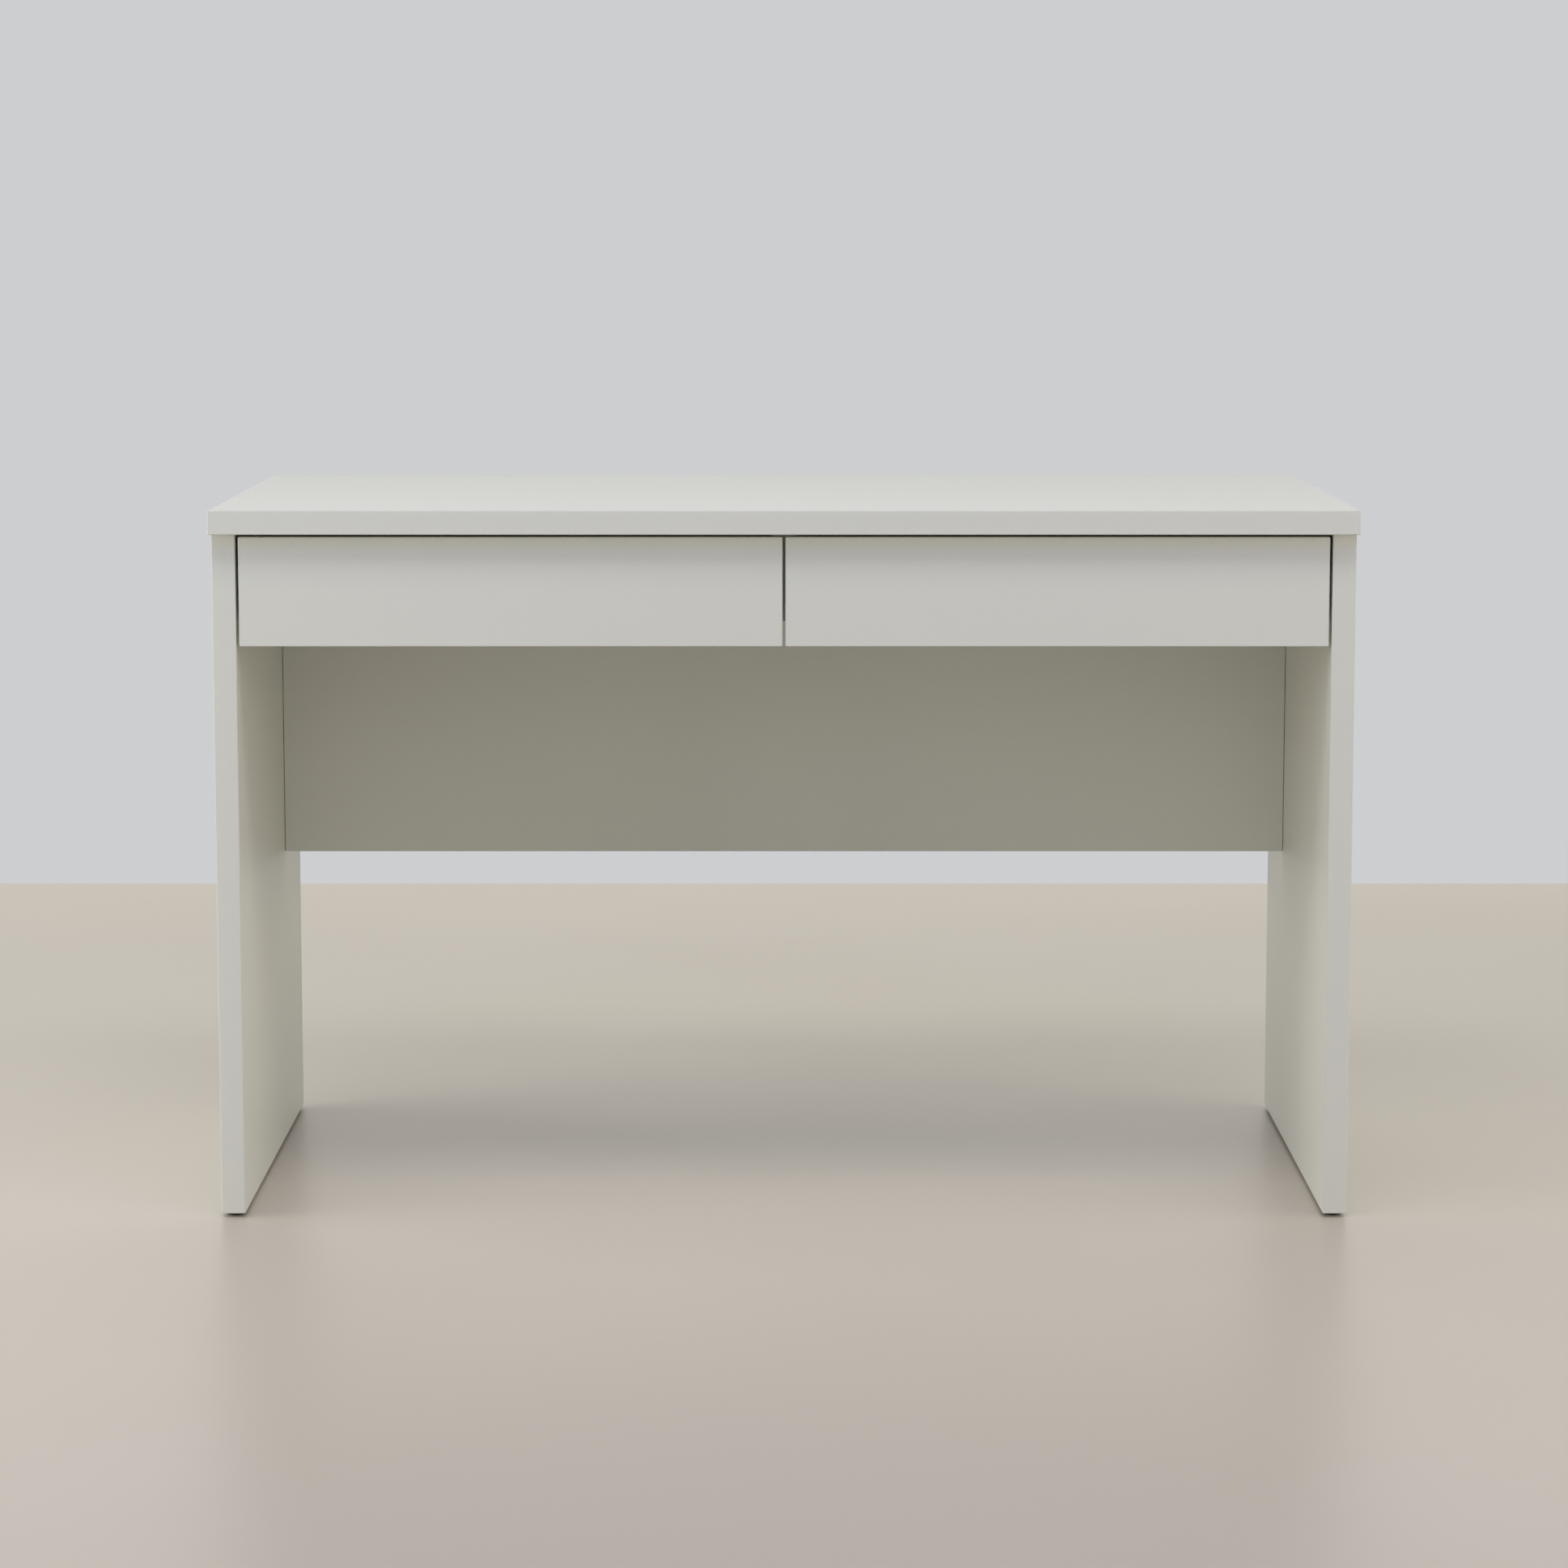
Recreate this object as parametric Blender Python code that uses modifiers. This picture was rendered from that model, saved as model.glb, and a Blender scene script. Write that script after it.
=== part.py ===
"""Writing desk with two drawers, flat-pack construction, modelled at real size in metres.

+Z is up and the drawers open towards -Y. The origin is on the floor, under the middle of the desktop.
Panels are melamine-faced board joined by cam fixings, and each drawer runs on two three-rail ball slides.
"""

import math

import bmesh
import bpy
from mathutils import Matrix, Vector

MM = 0.001

# Driving dimensions
DESK_WIDTH = 1200 * MM
DESK_DEPTH = 600 * MM
DESK_HEIGHT = 754 * MM
PANEL = 25 * MM  # desktop, side panels and centre divider
THIN_PANEL = 16 * MM  # modesty panel and drawer fronts
DRAWER_BOARD = 12 * MM  # drawer sides and backs
HARDBOARD = 3 * MM  # drawer bottoms
TOUCH = 0.3 * MM  # clearance left between two pieces that touch
EDGE_RADIUS = 1.2 * MM
SMALL_EDGE = 0.5 * MM  # drawer sides and backs
HARDBOARD_EDGE = 0.2 * MM
MERGE = 0.05 * MM  # points closer than this on a turned piece's axis are one

# Carcass
GLIDE_HEIGHT = 4 * MM
SIDE_INSET = 1.5 * MM  # the desktop overhangs each side panel by this much
FRONT_INSET = 18 * MM  # and the side panels and drawer fronts by this much
MODESTY_SETBACK = 442 * MM  # from the desktop's front edge to the modesty panel
MODESTY_BOTTOM = 332 * MM

# Drawers
FRONT_GAP = 3 * MM  # beside and between the drawer fronts
TOP_GAP = 3.5 * MM
FRONT_HEIGHT = 115 * MM
BOX_BOTTOM_ABOVE_FRONT = 25 * MM
BOX_HEIGHT = 80 * MM
BOX_LENGTH = 398 * MM
DIVIDER_BEHIND_FRONT = 3 * MM
GROOVE_DEPTH = 6 * MM
GROOVE_ABOVE_EDGE = 9.5 * MM

# Ball slides; a rail's and a cage's web and lip are measured out from the slide's mounting face
SLIDE_WIDTH = 12.7 * MM
SLIDE_LENGTH = 400 * MM
SLIDE_ABOVE_BOX = 36 * MM  # slide centre line above the drawer box's lower edge
SLIDE_BEHIND_DIVIDER_EDGE = 1 * MM
DRAWER_RAIL_SHORTER = 2 * MM
RAIL_GAUGE = 1.2 * MM
RAIL_BEND = 1.6 * MM
BEND_STEPS = 3
CABINET_LIP = 10.9 * MM
CABINET_HALF_HEIGHT = 21.9 * MM
CABINET_HEM = 3 * MM
MIDDLE_WEB = 2.9 * MM
MIDDLE_LIP = 10.9 * MM
MIDDLE_HALF_HEIGHT = 17.1 * MM
DRAWER_RAIL_LIP = 5 * MM
DRAWER_RAIL_HALF_HEIGHT = 12.8 * MM
RACE_X = 7.2 * MM  # the balls' tracks, out from the slide's mounting face
RACE_HALF_WIDTH = 1.8 * MM
RACE_DEPTH = 0.35 * MM
RACE_STEPS = 4
CAGE_GAUGE = 0.5 * MM
CAGE_LENGTH = 120 * MM
CAGES = {  # web, lip and half height
    "outer": (1.95 * MM, 9.6 * MM, 19.5 * MM),
    "inner": (4.2 * MM, 9.4 * MM, 14.75 * MM),
}

# Cam fixings
CAM_RADIUS = 7.5 * MM
CAM_SETBACK = 24 * MM  # cam centre from the joint
CAM_BELOW_BOLT = 4.3 * MM
BOLT_THREAD = 11 * MM
FIXING_FROM_EDGE = 60 * MM
DIVIDER_SCREW_FROM_EDGE = 30 * MM
ROUND_STEPS = 32
SMALL_ROUND_STEPS = 12  # bolts, screws and small holes

# Places that follow from the sizes above
FRONT = -DESK_DEPTH / 2
BACK = DESK_DEPTH / 2
DESKTOP_UNDERSIDE = DESK_HEIGHT - PANEL
BOARD_TOP = DESKTOP_UNDERSIDE - TOUCH
SIDE_OUTER_X = DESK_WIDTH / 2 - SIDE_INSET
SIDE_INNER_X = SIDE_OUTER_X - PANEL
FACE_Y = FRONT + FRONT_INSET
FRONT_BACK_Y = FACE_Y + THIN_PANEL
MODESTY_Y = FRONT + MODESTY_SETBACK
MODESTY_REAR_Y = MODESTY_Y + THIN_PANEL
FRONT_TOP = DESKTOP_UNDERSIDE - TOP_GAP
FRONT_BOTTOM = FRONT_TOP - FRONT_HEIGHT
BOX_BOTTOM = FRONT_BOTTOM + BOX_BOTTOM_ABOVE_FRONT
BOX_TOP = BOX_BOTTOM + BOX_HEIGHT
BOX_FRONT_Y = FRONT_BACK_Y + TOUCH
BOX_BACK_Y = BOX_FRONT_Y + BOX_LENGTH
DIVIDER_FRONT_Y = FRONT_BACK_Y + DIVIDER_BEHIND_FRONT
DIVIDER_BOTTOM = BOX_BOTTOM
SLIDE_Z = BOX_BOTTOM + SLIDE_ABOVE_BOX
SLIDE_FRONT_Y = DIVIDER_FRONT_Y + SLIDE_BEHIND_DIVIDER_EDGE

X = Vector((1, 0, 0))
Y = Vector((0, 1, 0))
Z = Vector((0, 0, 1))


def clear_scene():
    for obj in list(bpy.data.objects):
        bpy.data.objects.remove(obj, do_unlink=True)


def new_collection(name):
    collection = bpy.data.collections.new(name)
    bpy.context.scene.collection.children.link(collection)
    return collection


def material(name, colour, roughness, metallic=0.0):
    made = bpy.data.materials.new(name)
    made.use_nodes = True
    shader = made.node_tree.nodes["Principled BSDF"]
    shader.inputs["Base Color"].default_value = (*colour, 1.0)
    shader.inputs["Roughness"].default_value = roughness
    shader.inputs["Metallic"].default_value = metallic
    return made


def add_object(name, mesh, location=(0, 0, 0), finish=None, parent=None):
    """Links a mesh as a sub-part; a location is in the desk's frame, whatever the parent."""
    obj = bpy.data.objects.new(name, mesh)
    parts.objects.link(obj)
    obj.location = location
    if finish:
        mesh.materials.append(finish)
    if parent:
        obj.parent = parent
        obj.location = Vector(location) - parent.location
    return obj


def add_empty(name, location):
    empty = bpy.data.objects.new(name, None)
    parts.objects.link(empty)
    empty.location = location
    return empty


def mesh_from(name, bm):
    bmesh.ops.recalc_face_normals(bm, faces=bm.faces)
    mesh = bpy.data.meshes.new(name)
    bm.to_mesh(mesh)
    bm.free()
    return mesh


def block_mesh(name, size):
    bm = bmesh.new()
    bmesh.ops.create_cube(bm, size=1.0)
    bmesh.ops.scale(bm, vec=Vector(size), verts=bm.verts)
    return mesh_from(name, bm)


def board(name, low, high, finish, edge=EDGE_RADIUS, segments=2, parent=None):
    """A rectangular board between two corners, with its edges rounded over."""
    low, high = Vector(low), Vector(high)
    obj = add_object(name, block_mesh(name, high - low), (low + high) / 2, finish, parent)
    bevel = obj.modifiers.new("edge_band_radius", "BEVEL")
    bevel.width = edge
    bevel.segments = segments
    return obj


def as_cutter(obj):
    for collection in obj.users_collection:
        collection.objects.unlink(obj)
    cutters.objects.link(obj)
    obj.hide_render = True
    obj.display_type = "WIRE"
    return obj


def cut(obj, cutter):
    boolean = obj.modifiers.new("cut_" + cutter.name, "BOOLEAN")
    boolean.operation = "DIFFERENCE"
    boolean.object = cutter


def block_cutter(name, low, high):
    low, high = Vector(low), Vector(high)
    return as_cutter(add_object(name, block_mesh(name, high - low), (low + high) / 2))


def round_cutter(name, start, direction, radius, depth, sides=ROUND_STEPS):
    """A drill: a cylinder that enters the material at start and goes depth along direction."""
    lead = 2 * MM
    bm = bmesh.new()
    bmesh.ops.create_cone(
        bm, cap_ends=True, segments=sides, radius1=radius, radius2=radius, depth=depth + lead
    )
    obj = as_cutter(add_object(name, mesh_from(name, bm)))
    direction = Vector(direction).normalized()
    centre = Vector(start) + direction * (depth - lead) / 2
    obj.matrix_world = Matrix.Translation(centre) @ direction.to_track_quat("Z", "Y").to_matrix().to_4x4()
    return obj


def drill(name, start, direction, radius, depth):
    return round_cutter(name, start, direction, radius, depth, SMALL_ROUND_STEPS)


def turned(name, profile, finish, placing, steps=ROUND_STEPS):
    """A turned piece. profile lists (radius, height) from the top of the axis to its foot."""
    mesh = bpy.data.meshes.new(name)
    points = [(radius, 0, height) for radius, height in profile]
    mesh.from_pydata(points, [(i, i + 1) for i in range(len(points) - 1)], [])
    obj = add_object(name, mesh, finish=finish)
    obj.matrix_world = placing
    screw = obj.modifiers.new("turn", "SCREW")
    screw.axis = "Z"
    screw.angle = 2 * math.pi
    screw.steps = steps
    screw.render_steps = steps
    screw.use_merge_vertices = True
    screw.merge_threshold = MERGE
    return obj


def bent_strip(name, profile, thickness, length, finish, location, parent=None):
    """Sheet metal: an open profile of (x, z) points drawn out along +Y, then given its gauge."""
    bm = bmesh.new()
    row = [bm.verts.new((x, 0, z)) for x, z in profile]
    edges = [bm.edges.new(pair) for pair in zip(row, row[1:])]
    drawn = bmesh.ops.extrude_edge_only(bm, edges=edges)["geom"]
    bmesh.ops.translate(bm, vec=Y * length, verts=[g for g in drawn if isinstance(g, bmesh.types.BMVert)])
    obj = add_object(name, mesh_from(name, bm), location, finish, parent)
    gauge = obj.modifiers.new("gauge", "SOLIDIFY")
    gauge.thickness = thickness
    gauge.offset = 0.0
    gauge.use_even_offset = True
    return obj


def channel_profile(web, lip, half_height, race_depth=0.0, hem=0.0):
    """A C-section centred on z = 0: the web at x = web, the flanges at z = +-half_height reaching x = lip.

    The flanges meet the web in rolled bends. A ball track is pressed into each one, outwards if
    race_depth is positive, and a hem turns its edge inwards by that much."""
    side = 1 if lip > web else -1
    turns = [step / BEND_STEPS * math.pi / 2 for step in range(BEND_STEPS + 1)]
    flange = [
        (web + side * RAIL_BEND * (1 - math.cos(a)), half_height - RAIL_BEND * (1 - math.sin(a)))
        for a in turns
    ]
    if race_depth:
        across = [side * (2 * step / RACE_STEPS - 1) for step in range(RACE_STEPS + 1)]
        flange += [(RACE_X + u * RACE_HALF_WIDTH, half_height + race_depth * (1 - u * u)) for u in across]
    if hem:
        toe = RAIL_BEND / 2
        flange += [
            (lip - side * toe * (1 - math.sin(a)), half_height - toe * (1 - math.cos(a))) for a in turns
        ]
        flange.append((lip, half_height - hem))
    else:
        flange.append((lip, half_height))
    mirrored = [(x, -z) for x, z in reversed(flange)]
    return mirrored + flange


def cam_fixing(name, host, mate, centre, normal, towards, bolt_depth):
    """A cam lock in host's face at centre, and the bolt that it draws in from mate.

    normal points out of the face, towards points along the bolt to the joint."""
    normal, towards = Vector(normal), Vector(towards)
    across = normal.cross(towards)
    depth = bolt_depth + CAM_BELOW_BOLT
    axes = Matrix((towards, across, normal)).transposed().to_4x4()
    placing = Matrix.Translation(centre) @ axes
    face = -TOUCH
    rim = 0.5 * MM
    cam = turned(
        name + "_cam",
        [(0, face), (CAM_RADIUS - rim, face), (CAM_RADIUS, face - rim), (CAM_RADIUS, -depth), (0, -depth)],
        zinc,
        placing,
    )
    pocket_half, pocket_back = 4 * MM, 1.5 * MM
    pocket_roof = -(bolt_depth - pocket_half)
    pocket = block_cutter(
        name + "_cam_pocket",
        (-pocket_back, -pocket_half, -depth - MM),
        (CAM_RADIUS + MM, pocket_half, pocket_roof),
    )
    pocket.matrix_world = placing @ pocket.matrix_basis
    cut(cam, pocket)
    slot_half, slot_length, slot_depth = 0.8 * MM, 4 * MM, 2 * MM
    for label, half in (("a", (slot_half, slot_length)), ("b", (slot_length, slot_half))):
        slot = block_cutter(
            f"{name}_cam_slot_{label}", (-half[0], -half[1], face - slot_depth), (half[0], half[1], MM)
        )
        slot.matrix_world = placing @ slot.matrix_basis
        cut(cam, slot)
    cut(host, round_cutter(name + "_cam_hole", centre, -normal, CAM_RADIUS + TOUCH, depth + TOUCH))

    joint = Vector(centre) + towards * CAM_SETBACK - normal * bolt_depth
    thread, shank, head, bolt_bore = 3.0 * MM, 2.4 * MM, 3.5 * MM, 4 * MM
    thread_clear, thread_end_clear = 0.35 * MM, 0.5 * MM
    end = CAM_SETBACK + TOUCH
    bolt_placing = Matrix.Translation(joint) @ Matrix((across, normal, -towards)).transposed().to_4x4()
    turned(
        name + "_bolt",
        [
            (0, end),
            (head - 0.8 * MM, end),
            (head, end - 1.5 * MM),
            (head, end - 3 * MM),
            (shank, end - 4.5 * MM),
            (shank, 4 * MM),
            (thread, 3 * MM),
            (thread, -BOLT_THREAD + MM),
            (thread - 0.8 * MM, -BOLT_THREAD),
            (0, -BOLT_THREAD),
        ],
        zinc,
        bolt_placing,
        steps=SMALL_ROUND_STEPS,
    )
    cut(host, drill(name + "_bolt_hole", joint, -towards, bolt_bore, CAM_SETBACK))
    thread_hole = drill(
        name + "_thread_hole", joint, towards, thread + thread_clear, BOLT_THREAD + thread_end_clear
    )
    cut(mate, thread_hole)


def make_carcass():
    """Desktop, two side panels, the modesty panel between them and the divider between the drawers."""
    made = {}
    made["desktop"] = board(
        "desktop",
        (-DESK_WIDTH / 2, FRONT, DESKTOP_UNDERSIDE),
        (DESK_WIDTH / 2, BACK, DESK_HEIGHT),
        melamine,
    )
    for side, sign in (("left", -1), ("right", 1)):
        near, far = sorted((sign * SIDE_INNER_X, sign * SIDE_OUTER_X))
        made[side] = board(
            f"side_panel_{side}", (near, FACE_Y, GLIDE_HEIGHT), (far, BACK, BOARD_TOP), melamine
        )
    reach = SIDE_INNER_X - TOUCH
    made["modesty"] = board(
        "modesty_panel",
        (-reach, MODESTY_Y, MODESTY_BOTTOM),
        (reach, MODESTY_REAR_Y, BOARD_TOP),
        melamine,
    )
    made["divider"] = board(
        "centre_divider",
        (-PANEL / 2, DIVIDER_FRONT_Y, DIVIDER_BOTTOM),
        (PANEL / 2, MODESTY_Y - TOUCH, BOARD_TOP),
        melamine,
    )
    return made


def make_glides(carcass):
    """A round plastic glide on a plug, near each end of each side panel's foot."""
    disc, plug, plug_length, rim = 10 * MM, 2.5 * MM, 12 * MM, 0.8 * MM
    plug_clear, plug_end_clear = 0.4 * MM, 0.5 * MM
    from_end = 20 * MM
    top = GLIDE_HEIGHT - TOUCH
    tip = GLIDE_HEIGHT + plug_length
    profile = [
        (0, tip),
        (plug - rim, tip),
        (plug, tip - rim),
        (plug, top),
        (disc - rim / 2, top),
        (disc, top - rim / 2),
        (disc, rim),
        (disc - rim, 0),
        (0, 0),
    ]
    for side, sign in (("left", -1), ("right", 1)):
        x = sign * (SIDE_INNER_X + PANEL / 2)
        for end, y in (("front", FACE_Y + from_end), ("back", BACK - from_end)):
            name = f"glide_{end}_{side}"
            turned(name, profile, plastic, Matrix.Translation((x, y, 0)))
            foot = (x, y, GLIDE_HEIGHT)
            hole = drill(name + "_hole", foot, Z, plug + plug_clear, plug_length + plug_end_clear)
            cut(carcass[side], hole)


def make_fixings(carcass):
    """Cam fixings of the desktop and the modesty panel, and the divider's screws and brackets."""
    desktop_fixing_y = {"front": FACE_Y + FIXING_FROM_EDGE, "back": BACK - FIXING_FROM_EDGE}
    modesty_fixing_z = {"upper": BOARD_TOP - FIXING_FROM_EDGE, "lower": MODESTY_BOTTOM + FIXING_FROM_EDGE}
    for side, sign in (("left", -1), ("right", 1)):
        panel = carcass[side]
        for end, y in desktop_fixing_y.items():
            centre = Vector((sign * SIDE_INNER_X, y, BOARD_TOP - CAM_SETBACK))
            cam_fixing(f"desktop_{end}_{side}", panel, carcass["desktop"], centre, -sign * X, Z, PANEL / 2)
        for level, z in modesty_fixing_z.items():
            centre = Vector((sign * (SIDE_INNER_X - TOUCH - CAM_SETBACK), MODESTY_REAR_Y, z))
            cam_fixing(
                f"modesty_{level}_{side}", carcass["modesty"], panel, centre, Y, sign * X, THIN_PANEL / 2
            )

    high, low = BOARD_TOP - DIVIDER_SCREW_FROM_EDGE, DIVIDER_BOTTOM + DIVIDER_SCREW_FROM_EDGE
    for level, z in (("upper", high), ("lower", low)):
        make_divider_screw(f"divider_screw_{level}", carcass, Vector((0, MODESTY_REAR_Y, z)))

    gauge, leg, rise, width, setback = 1.5 * MM, 11.5 * MM, 20 * MM, 20 * MM, 6 * MM
    top = BOARD_TOP - gauge / 2
    for side, sign in (("left", -1), ("right", 1)):
        near = sign * (PANEL / 2 + TOUCH + gauge / 2)
        profile = [(near, top - rise), (near, top), (sign * (PANEL / 2 + leg), top)]
        corner = (0, DIVIDER_FRONT_Y + setback, 0)
        bent_strip(f"divider_bracket_{side}", profile, gauge, width, white_steel, corner)


def make_divider_screw(name, carcass, start):
    """A connecting screw through the modesty panel into the divider's back edge."""
    head, shank, thread, length, sink = 5 * MM, 3.4 * MM, 2.8 * MM, 50 * MM, 3 * MM
    face = -TOUCH
    placing = Matrix.Translation(start) @ Y.to_track_quat("Z", "X").to_matrix().to_4x4()
    screw = turned(
        name,
        [
            (0, face),
            (head, face),
            (shank, face - sink),
            (shank, -THIN_PANEL + MM),
            (thread, -THIN_PANEL),
            (thread, -length + 2 * MM),
            (thread / 3, -length),
            (0, -length),
        ],
        zinc,
        placing,
        steps=SMALL_ROUND_STEPS,
    )
    socket, socket_depth, clear = 2.3 * MM, 2.5 * MM, 0.4 * MM
    cut(screw, round_cutter(name + "_socket", start + face * Y, -Y, socket, socket_depth, sides=6))
    cut(carcass["modesty"], drill(name + "_head_hole", start, -Y, head + clear, sink + clear))
    cut(carcass["modesty"], drill(name + "_shank_hole", start, -Y, shank + clear, THIN_PANEL + MM))
    edge = start - Y * THIN_PANEL
    thread_hole = drill(name + "_thread_hole", edge, -Y, thread + clear, length - THIN_PANEL + MM)
    cut(carcass["divider"], thread_hole)


def make_slide(name, mounting_x, towards, drawer):
    """A three-rail ball slide between a fixed face at mounting_x and the drawer side facing it.

    towards is +1 or -1, the way from the fixed face to the drawer. Each rail is a C-section inside
    the one before, and a ball cage runs between each two."""
    at = (mounting_x, SLIDE_FRONT_Y, SLIDE_Z)

    def section(*sizes, **more):
        return [(towards * x, z) for x, z in channel_profile(*sizes, **more)]

    cabinet_rail = bent_strip(
        name + "_cabinet_rail",
        section(TOUCH + RAIL_GAUGE / 2, CABINET_LIP, CABINET_HALF_HEIGHT, RACE_DEPTH, hem=CABINET_HEM),
        RAIL_GAUGE,
        SLIDE_LENGTH,
        steel,
        at,
    )
    carriage = add_empty(name + "_carriage", at)
    middle_rail = bent_strip(
        name + "_middle_rail",
        section(MIDDLE_WEB, MIDDLE_LIP, MIDDLE_HALF_HEIGHT, -RACE_DEPTH),
        RAIL_GAUGE,
        SLIDE_LENGTH,
        steel,
        at,
        carriage,
    )
    drawer_web = SLIDE_WIDTH - TOUCH - RAIL_GAUGE / 2
    drawer_rail = bent_strip(
        name + "_drawer_rail",
        section(drawer_web, DRAWER_RAIL_LIP, DRAWER_RAIL_HALF_HEIGHT, -RACE_DEPTH),
        RAIL_GAUGE,
        SLIDE_LENGTH - DRAWER_RAIL_SHORTER,
        steel,
        at,
        drawer,
    )
    cage_at = (mounting_x, SLIDE_FRONT_Y + (SLIDE_LENGTH - CAGE_LENGTH) / 2, SLIDE_Z)
    for layer, sizes in CAGES.items():
        cage = f"{name}_{layer}_ball_cage"
        runner = add_empty(cage + "_runner", cage_at)
        bent_strip(cage, section(*sizes), CAGE_GAUGE, CAGE_LENGTH, cage_steel, cage_at, runner)

    into = Vector((towards, 0, 0))
    hole, access, access_sides, punch = 2.3 * MM, 5 * MM, 20, 4 * MM
    screw_end, slot_end, slot_middle = 35 * MM, 70 * MM, 150 * MM
    screw_y = (screw_end, SLIDE_LENGTH / 2, SLIDE_LENGTH - screw_end)
    access_y = (SLIDE_LENGTH / 4, SLIDE_LENGTH * 3 / 4)
    slot_y = (slot_end, slot_middle, SLIDE_LENGTH - slot_end)
    slot_half, slot_half_height = 2.2 * MM, 4.5 * MM
    for number, y in enumerate(screw_y, 1):
        place = Vector((mounting_x, SLIDE_FRONT_Y + y, SLIDE_Z))
        cut(cabinet_rail, drill(f"{name}_cabinet_hole_{number}", place, into, hole, punch))
        place = place + into * (SLIDE_WIDTH - punch)
        cut(drawer_rail, drill(f"{name}_drawer_hole_{number}", place, into, hole, punch))
    for number, y in enumerate(access_y, 1):
        place = Vector((mounting_x, SLIDE_FRONT_Y + y, SLIDE_Z))
        through = f"{name}_middle_hole_{number}"
        cut(middle_rail, round_cutter(through, place, into, access, SLIDE_WIDTH / 2, access_sides))
    for number, y in enumerate(slot_y, 1):
        for rail, depth in ((cabinet_rail, 0), (drawer_rail, SLIDE_WIDTH - punch)):
            reach = sorted((mounting_x + towards * depth, mounting_x + towards * (depth + punch)))
            place = SLIDE_FRONT_Y + y
            slot = block_cutter(
                f"{rail.name}_slot_{number}",
                (reach[0], place - slot_half, SLIDE_Z - slot_half_height),
                (reach[1], place + slot_half, SLIDE_Z + slot_half_height),
            )
            cut(rail, slot)


def make_drawer(side, sign):
    """One drawer: a handleless front on a grooved box of thin board with a hardboard bottom."""
    name = f"{side}_drawer"
    near_x, far_x = FRONT_GAP / 2, SIDE_INNER_X - FRONT_GAP
    drawer = add_empty(name, (sign * (near_x + far_x) / 2, FRONT_BACK_Y, BOX_BOTTOM))

    def span(a, b):
        return sorted((sign * a, sign * b))

    low, high = span(near_x, far_x)
    front = board(
        name + "_front",
        (low, FACE_Y, FRONT_BOTTOM),
        (high, FRONT_BACK_Y, FRONT_TOP),
        melamine,
        parent=drawer,
    )
    box_near, box_far = PANEL / 2 + SLIDE_WIDTH, SIDE_INNER_X - SLIDE_WIDTH
    inside_near, inside_far = box_near + DRAWER_BOARD, box_far - DRAWER_BOARD
    label = {"near": "right" if sign < 0 else "left", "far": "left" if sign < 0 else "right"}
    grooved = [front]
    for which, (a, b) in {"near": (box_near, inside_near), "far": (inside_far, box_far)}.items():
        low, high = span(a, b)
        grooved.append(
            board(
                f"{name}_{label[which]}_side",
                (low, BOX_FRONT_Y, BOX_BOTTOM),
                (high, BOX_BACK_Y, BOX_TOP),
                drawer_foil,
                SMALL_EDGE,
                1,
                drawer,
            )
        )
    low, high = span(inside_near + TOUCH, inside_far - TOUCH)
    back_face = BOX_BACK_Y - DRAWER_BOARD
    grooved.append(
        board(
            name + "_back",
            (low, back_face, BOX_BOTTOM),
            (high, BOX_BACK_Y, BOX_TOP),
            drawer_foil,
            SMALL_EDGE,
            1,
            drawer,
        )
    )
    groove_low = BOX_BOTTOM + GROOVE_ABOVE_EDGE
    groove_high = groove_low + HARDBOARD + 2 * TOUCH
    low, high = span(inside_near - GROOVE_DEPTH, inside_far + GROOVE_DEPTH)
    groove = block_cutter(
        name + "_groove",
        (low, FRONT_BACK_Y - GROOVE_DEPTH, groove_low),
        (high, back_face + GROOVE_DEPTH, groove_high),
    )
    for piece in grooved:
        cut(piece, groove)
    board(
        name + "_bottom",
        (low + TOUCH, FRONT_BACK_Y - GROOVE_DEPTH + TOUCH, groove_low + TOUCH),
        (high - TOUCH, back_face + GROOVE_DEPTH - TOUCH, groove_high - TOUCH),
        hardboard,
        HARDBOARD_EDGE,
        1,
        drawer,
    )
    make_slide(f"{name}_{label['near']}_slide", sign * PANEL / 2, sign, drawer)
    make_slide(f"{name}_{label['far']}_slide", sign * SIDE_INNER_X, -sign, drawer)


def main():
    carcass = make_carcass()
    make_glides(carcass)
    make_fixings(carcass)
    for side, sign in (("left", -1), ("right", 1)):
        make_drawer(side, sign)


clear_scene()
parts = new_collection("writing_desk")
cutters = new_collection("cutters")
cutters.hide_render = True
melamine = material("white_melamine", (0.80, 0.80, 0.77), 0.45)
drawer_foil = material("drawer_foil", (0.78, 0.78, 0.75), 0.5)
hardboard = material("white_hardboard", (0.74, 0.73, 0.69), 0.55)
steel = material("zinc_plated_steel", (0.62, 0.63, 0.65), 0.32, 1.0)
cage_steel = material("ball_cage_steel", (0.45, 0.45, 0.46), 0.4, 1.0)
white_steel = material("white_coated_steel", (0.72, 0.71, 0.67), 0.45)
zinc = material("die_cast_zinc", (0.55, 0.56, 0.58), 0.38, 1.0)
plastic = material("dark_plastic", (0.05, 0.045, 0.04), 0.55)
main()
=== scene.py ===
"""Looks for the writing desk: materials, small fittings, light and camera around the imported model.

Everything is in metres in the model's own frame: +Z up, the drawers open towards -Y.
"""

import math

import bmesh
import bpy
from mathutils import Matrix, Vector


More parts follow.
